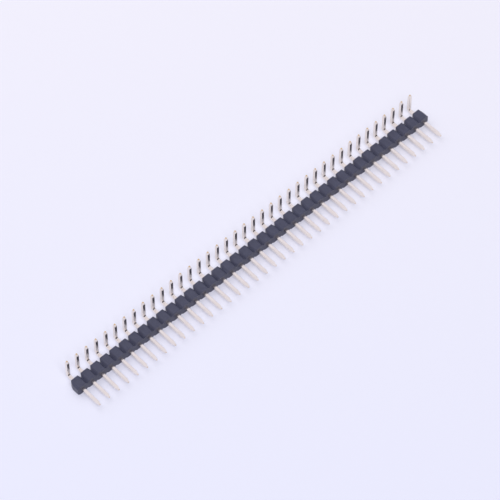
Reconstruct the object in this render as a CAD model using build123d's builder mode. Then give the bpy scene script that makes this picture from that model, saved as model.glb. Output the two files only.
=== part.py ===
# Right-angle pin header strip, single row, 2.00 mm pitch.
# Frame: X runs along the strip, the mating pins point to -Y, the solder legs rise to +Z.
# Origin: the centre of the flat that the middle cell of the insulator rests on.

import os
from math import atan2, degrees

from build123d import *

# Row
positions = 39
pitch = 2.0

# Insulator, one moulded bar of cells that snap apart
body_height = 2.0
body_depth = 2.0
groove_depth = 0.36
groove_half_width = 0.36
notch_depth = 0.7
notch_half_width = 0.3
lead_in = 0.1

# Pins, square wire pushed through the insulator and bent behind it
pin_size = 0.5
pin_clearance = 0.01
mating_length = 4.0
leg_setback = 1.5
leg_above_body = 3.0
bend_radius = 0.5
mating_bevel_length = 0.6
mating_tip_size = 0.22
leg_bevel_length = 0.4
leg_tip_size = 0.26

# Places that follow from the sizes
row_length = positions * pitch
first_x = (pitch - row_length) / 2
back_y = body_depth / 2
axis_z = body_height / 2
leg_y = back_y + leg_setback
mating_tip_y = -body_depth / 2 - mating_length
leg_tip_z = body_height + leg_above_body
hole_size = pin_size + 2 * pin_clearance

os.makedirs("parts", exist_ok=True)


def bevel_angle(tip_size, bevel_length):
    """Slope of a four-sided pin tip, in degrees from the axis of the wire."""
    return degrees(atan2((pin_size - tip_size) / 2, bevel_length))


# Insulator: the row of cells seen along the pins, then the notches and the holes
with BuildPart() as insulator:
    with BuildSketch(Plane.XZ) as cells:
        with Locations((0, axis_z)):
            Rectangle(row_length, body_height)
        # V grooves across the top and the bottom, with half a groove at each end of the row
        with Locations((0, axis_z)), GridLocations(pitch, body_height, positions + 1, 2):
            Polygon(
                (-groove_half_width, 0),
                (0, -groove_depth),
                (groove_half_width, 0),
                (0, groove_depth),
                mode=Mode.SUBTRACT,
            )
    extrude(amount=body_depth / 2, both=True)
    # V notches down the back face, where the cells snap apart
    with BuildSketch(Plane.XY) as notches:
        with Locations((0, back_y)), GridLocations(pitch, pitch, positions + 1, 1):
            Polygon(
                (-notch_half_width, 0),
                (0, -notch_depth),
                (notch_half_width, 0),
                (0, notch_depth),
            )
    extrude(amount=body_height, mode=Mode.SUBTRACT)
    # Square holes, each with a lead-in at the back, where its pin is pushed in
    with BuildSketch(Plane.XZ) as holes:
        with Locations((0, axis_z)), GridLocations(pitch, pitch, positions, 1):
            Rectangle(hole_size, hole_size)
    extrude(amount=body_depth / 2, both=True, mode=Mode.SUBTRACT)
    with BuildSketch(Plane.XZ.offset(-back_y)) as hole_mouths:
        with Locations((0, axis_z)), GridLocations(pitch, pitch, positions, 1):
            Rectangle(hole_size + 2 * lead_in, hole_size + 2 * lead_in)
    extrude(amount=lead_in, taper=45, mode=Mode.SUBTRACT)

insulator.part.label = "insulator"
export_step(insulator.part, "parts/insulator.step")

# Pins: one bend behind the insulator and a bevelled tip at each end
for number in range(positions):
    with BuildPart() as pin:
        with BuildLine(Plane.YZ.offset(first_x + number * pitch)) as route:
            FilletPolyline(
                (mating_tip_y + mating_bevel_length, axis_z),
                (leg_y, axis_z),
                (leg_y, leg_tip_z - leg_bevel_length),
                radius=bend_radius,
            )
        with BuildSketch(Plane(route.line @ 0, x_dir=(1, 0, 0), z_dir=(0, 1, 0))) as wire:
            Rectangle(pin_size, pin_size)
        sweep()
        extrude(
            pin.faces().sort_by(Axis.Y)[0],
            amount=mating_bevel_length,
            taper=bevel_angle(mating_tip_size, mating_bevel_length),
        )
        extrude(
            pin.faces().sort_by(Axis.Z)[-1],
            amount=leg_bevel_length,
            taper=bevel_angle(leg_tip_size, leg_bevel_length),
        )
    pin.part.label = f"pin_{number + 1:02d}"
    export_step(pin.part, f"parts/{pin.part.label}.step")
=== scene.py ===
# Right-angle pin header strip, standing on its insulator on a pale table under soft studio light.
# Metres. X runs along the strip, the mating pins point to -Y, the solder legs rise to +Z.

import math

import bpy
from mathutils import Matrix, Vector


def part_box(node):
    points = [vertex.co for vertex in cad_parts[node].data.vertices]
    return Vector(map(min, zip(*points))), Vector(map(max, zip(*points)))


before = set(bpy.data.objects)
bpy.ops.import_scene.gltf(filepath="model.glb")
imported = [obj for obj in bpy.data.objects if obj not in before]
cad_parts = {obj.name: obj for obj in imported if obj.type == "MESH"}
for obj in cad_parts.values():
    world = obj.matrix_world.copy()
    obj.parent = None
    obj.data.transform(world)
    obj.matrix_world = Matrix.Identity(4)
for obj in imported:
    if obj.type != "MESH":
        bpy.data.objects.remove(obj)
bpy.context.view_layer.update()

MM = 0.001
pin_names = sorted(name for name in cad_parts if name.startswith("pin_"))

# Pin: its bend lies between the top of the level wire and one wire width above it
pin_low, pin_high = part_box("pin_01")
pin_size = pin_high.x - pin_low.x
bend_start = pin_low.z + pin_size
bend_end = bend_start + pin_size

# Camera, fitted to the legs, grooves and edges of the strip in the 500 x 500 photograph
camera_azimuth = math.radians(-43.52)
camera_elevation = math.radians(55.41)
camera_distance = 451.0 * MM
camera_target = Vector((-0.90, 0.16, 1.0)) * MM
focal_pixels = 2789.1
image_pixels = 500
sensor_width = 36.0
nearest_seen = 10 * MM

# Light levels, fitted together so that the colours of the table render about as they are written
dome_level = 0.22
front_level = 0.44
back_level = 0.56

# Table, lit a little from below, its colour darkened and blued towards the camera as painted shade
far_table_colour = (0.885, 0.868, 0.985)
painted_shade_near_table_colour = (0.815, 0.820, 0.985)
table_fade = 50 * MM
table_glow = 0.3
table_roughness = 0.9
table_size = 6.0

# Noise values between which a pattern goes from its first colour or roughness to its second
noise_range = (0.3, 0.7)

# Plastic: the scales are noise scales, and the glass fibres lie along the bar
plastic_colours = (0.040, 0.042, 0.076), (0.052, 0.055, 0.094)
plastic_roughness = (0.36, 0.46)
mottle_scale = 900.0
mottle_detail = 3.0
grain_scale = 9000.0
grain_detail = 4.0
grain_depth = 0.01 * MM
grain_strength = 0.15
fibre_colour = (0.105, 0.108, 0.145)
fibre_scale = (1200, 12000, 12000)
fibre_range = (0.62, 0.74)
fibre_cover = (0.0, 0.5)
insulator_edge = 0.04 * MM

# Plating: drawing lines run along the wire, and the cut ends show the brass below
plating_colours = (0.85, 0.78, 0.70), (0.89, 0.825, 0.75)
plating_roughness = (0.15, 0.25)
brass_colour = (0.70, 0.50, 0.24)
brass_roughness = 0.45
cloud_scale = 700.0
line_scale_across = 24000
line_scale_along = 300
line_depth = 0.002 * MM
line_strength = 0.1
cut_depth = 0.01 * MM
pin_edge = 0.03 * MM

# Edge rounding
seam = 0.0002 * MM
sharp_angle = math.radians(30)
edge_segments = 2


def set_inputs(shader_node, **inputs):
    """Set or link the input sockets of a node by name."""
    for name, value in inputs.items():
        socket = shader_node.inputs[name.replace("_", " ")]
        if isinstance(value, bpy.types.NodeSocket):
            shader_node.id_data.links.new(value, socket)
        else:
            socket.default_value = value


def node(tree, kind, **inputs):
    """A shader node with its input sockets set or linked by name."""
    made = tree.nodes.new(kind)
    set_inputs(made, **inputs)
    return made


def maths(tree, operation, value, other):
    """A comparison or maximum of a linked value with a number or another linked value."""
    made = node(tree, "ShaderNodeMath", Value=value)
    made.operation = operation
    if isinstance(other, bpy.types.NodeSocket):
        tree.links.new(other, made.inputs[1])
    else:
        made.inputs[1].default_value = other
    return made.outputs["Value"]


def fade(tree, value, start, end, low=0.0, high=1.0):
    """The value's way from start to end, as a level from low to high."""
    made = node(
        tree, "ShaderNodeMapRange", Value=value, From_Min=start, From_Max=end, To_Min=low, To_Max=high
    )
    return made.outputs["Result"]


def object_position(tree, scale=(1, 1, 1)):
    """Position in the row frame, stretched by a scale for each axis."""
    place = tree.nodes.new("ShaderNodeTexCoord")
    mapping = node(tree, "ShaderNodeMapping", Vector=place.outputs["Object"], Scale=scale)
    return mapping.outputs["Vector"]


def noise(tree, position, scale=1.0, detail=2.0):
    """A cloudy pattern around 0.5, at this many repeats a metre."""
    made = node(tree, "ShaderNodeTexNoise", Vector=position, Scale=scale, Detail=detail)
    return made.outputs["Fac"]


def colour_mix(tree, factor, first, second):
    """A blend from the first colour to the second, each a linked socket or a plain colour."""
    made = node(tree, "ShaderNodeMixRGB", Fac=factor)
    for name, colour in (("Color1", first), ("Color2", second)):
        is_linked = isinstance(colour, bpy.types.NodeSocket)
        set_inputs(made, **{name: colour if is_linked else (*colour, 1)})
    return made.outputs["Color"]


def new_material(name):
    """A node material with one shader, linked to its output."""
    material = bpy.data.materials.new(name)
    material.use_nodes = True
    tree = material.node_tree
    tree.nodes.clear()
    shader = tree.nodes.new("ShaderNodeBsdfPrincipled")
    node(tree, "ShaderNodeOutputMaterial", Surface=shader.outputs["BSDF"])
    return material, tree, shader


def moulded_plastic():
    """Satin black thermoplastic with the grain of its mould and the flecks of its glass fibres."""
    material, tree, shader = new_material("moulded_black_plastic")
    place = object_position(tree)
    mottle = noise(tree, place, mottle_scale, mottle_detail)
    grain = noise(tree, place, grain_scale, grain_detail)
    fibres = noise(tree, object_position(tree, fibre_scale))
    base = colour_mix(tree, fade(tree, mottle, *noise_range), *plastic_colours)
    flecked = colour_mix(tree, fade(tree, fibres, *fibre_range, *fibre_cover), base, fibre_colour)
    bump = node(tree, "ShaderNodeBump", Height=grain, Strength=grain_strength, Distance=grain_depth)
    set_inputs(
        shader,
        Base_Color=flecked,
        Roughness=fade(tree, mottle, *noise_range, *plastic_roughness),
        Normal=bump.outputs["Normal"],
    )
    return material


def plated_wire():
    """Pale gold plating with drawing lines along the bent wire, and bare brass on its cut ends."""
    material, tree, shader = new_material("pale_gold_plating")
    place = object_position(tree)
    axes = node(tree, "ShaderNodeSeparateXYZ", Vector=place)
    cloud = noise(tree, place, cloud_scale)
    across, along = line_scale_across, line_scale_along
    level_lines = noise(tree, object_position(tree, (across, along, across)))
    upright_lines = noise(tree, object_position(tree, (across, across, along)))
    past_bend = fade(tree, axes.outputs["Z"], bend_start, bend_end)
    lines = fade(tree, past_bend, 0.0, 1.0, level_lines, upright_lines)
    mating_cut = maths(tree, "LESS_THAN", axes.outputs["Y"], pin_low.y + cut_depth)
    leg_cut = maths(tree, "GREATER_THAN", axes.outputs["Z"], pin_high.z - cut_depth)
    cut = maths(tree, "MAXIMUM", mating_cut, leg_cut)
    plating = colour_mix(tree, fade(tree, cloud, *noise_range), *plating_colours)
    plated_roughness = fade(tree, lines, *noise_range, *plating_roughness)
    bump = node(tree, "ShaderNodeBump", Height=lines, Strength=line_strength, Distance=line_depth)
    set_inputs(
        shader,
        Metallic=1.0,
        Base_Color=colour_mix(tree, cut, plating, brass_colour),
        Roughness=fade(tree, cut, 0.0, 1.0, plated_roughness, brass_roughness),
        Normal=bump.outputs["Normal"],
    )
    return material


def pale_table():
    """Matt acrylic, with painted shade that makes it darker and bluer towards the camera."""
    material, tree, shader = new_material("pale_table")
    away = node(tree, "ShaderNodeVectorMath")
    away.operation = "DOT_PRODUCT"
    tree.links.new(object_position(tree), away.inputs[0])
    away.inputs[1].default_value = (-math.sin(camera_azimuth), math.cos(camera_azimuth), 0)
    distance = fade(tree, away.outputs["Value"], -table_fade, table_fade)
    # Painted shade: the table's colour darkens and turns bluer towards the camera
    colour = colour_mix(tree, distance, painted_shade_near_table_colour, far_table_colour)
    set_inputs(shader, Base_Color=colour, Roughness=table_roughness, Specular_IOR_Level=0.0)
    glow = node(tree, "ShaderNodeEmission", Color=colour)
    mix = node(tree, "ShaderNodeMixShader", Fac=table_glow)
    tree.links.new(shader.outputs["BSDF"], mix.inputs[1])
    tree.links.new(glow.outputs["Emission"], mix.inputs[2])
    set_inputs(tree.nodes["Material Output"], Surface=mix.outputs["Shader"])
    return material


def give_material(piece, material):
    """Dress the whole piece in one material."""
    piece.data.materials.clear()
    piece.data.materials.append(material)


def round_edges(piece, width):
    """Join the faces of a solid at its seams and round its sharp edges."""
    weld = piece.modifiers.new("weld", "WELD")
    weld.merge_threshold = seam
    bevel = piece.modifiers.new("round_edges", "BEVEL")
    bevel.width = width
    bevel.segments = edge_segments
    bevel.limit_method = "ANGLE"
    bevel.angle_limit = sharp_angle
    bevel.harden_normals = True


def add_table():
    """A flat sheet that the strip stands on."""
    half = table_size / 2
    mesh = bpy.data.meshes.new("table")
    mesh.from_pydata(
        [(-half, -half, 0), (half, -half, 0), (half, half, 0), (-half, half, 0)], [], [(0, 1, 2, 3)]
    )
    table = bpy.data.objects.new("table", mesh)
    bpy.context.scene.collection.objects.link(table)
    give_material(table, pale_table())


def add_world():
    """White light from all round, and a plain backdrop that the camera, metal and glass see."""
    world = bpy.data.worlds.new("room")
    bpy.context.scene.world = world
    world.use_nodes = True
    tree = world.node_tree
    tree.nodes.clear()
    rays = tree.nodes.new("ShaderNodeLightPath")
    lighting = node(tree, "ShaderNodeBackground", Color=(1, 1, 1, 1), Strength=dome_level)
    backdrop = node(tree, "ShaderNodeBackground", Color=(*far_table_colour, 1), Strength=1.0)
    mirrored = maths(tree, "MAXIMUM", rays.outputs["Is Glossy Ray"], rays.outputs["Is Transmission Ray"])
    shown = maths(tree, "MAXIMUM", mirrored, rays.outputs["Is Camera Ray"])
    mix = node(tree, "ShaderNodeMixShader", Fac=shown)
    tree.links.new(lighting.outputs["Background"], mix.inputs[1])
    tree.links.new(backdrop.outputs["Background"], mix.inputs[2])
    node(tree, "ShaderNodeOutputWorld", Surface=mix.outputs["Shader"])


def add_softbox(name, azimuth, elevation, distance, size, level):
    """A square lamp aimed at the strip, giving the table about this share of its light."""
    azimuth = math.radians(azimuth)
    elevation = math.radians(elevation)
    towards = Vector((
        math.cos(azimuth) * math.cos(elevation),
        math.sin(azimuth) * math.cos(elevation),
        math.sin(elevation),
    ))
    lamp = bpy.data.lights.new(name, "AREA")
    lamp.shape = "SQUARE"
    lamp.size = size
    lamp.energy = level * math.pi**2 * distance**2 / towards.z
    softbox = bpy.data.objects.new(name, lamp)
    softbox.location = towards * distance
    softbox.rotation_euler = towards.to_track_quat("Z", "Y").to_euler()
    softbox.visible_glossy = False
    bpy.context.scene.collection.objects.link(softbox)


def add_camera():
    """The photograph's camera, level from side to side and aimed near the middle of the strip."""
    back = Vector((
        math.sin(camera_azimuth) * math.cos(camera_elevation),
        -math.cos(camera_azimuth) * math.cos(camera_elevation),
        math.sin(camera_elevation),
    ))
    right = Vector((math.cos(camera_azimuth), math.sin(camera_azimuth), 0))
    up = back.cross(right)
    data = bpy.data.cameras.new("camera")
    data.sensor_width = sensor_width
    data.lens = focal_pixels / image_pixels * sensor_width
    data.clip_start = nearest_seen
    camera = bpy.data.objects.new("camera", data)
    place = camera_target + back * camera_distance
    camera.matrix_world = Matrix.Translation(place) @ Matrix((right, up, back)).transposed().to_4x4()
    bpy.context.scene.collection.objects.link(camera)
    bpy.context.scene.camera = camera


# Pieces
give_material(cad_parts["insulator"], moulded_plastic())
round_edges(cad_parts["insulator"], insulator_edge)
plating = plated_wire()
for name in pin_names:
    give_material(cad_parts[name], plating)
    round_edges(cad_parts[name], pin_edge)

# Stage
add_table()
add_world()
add_softbox("front_softbox", azimuth=240, elevation=58, distance=1.0, size=0.5, level=front_level)
add_softbox("back_softbox", azimuth=95, elevation=50, distance=1.0, size=1.2, level=back_level)
add_camera()
bpy.context.scene.view_settings.view_transform = "Standard"
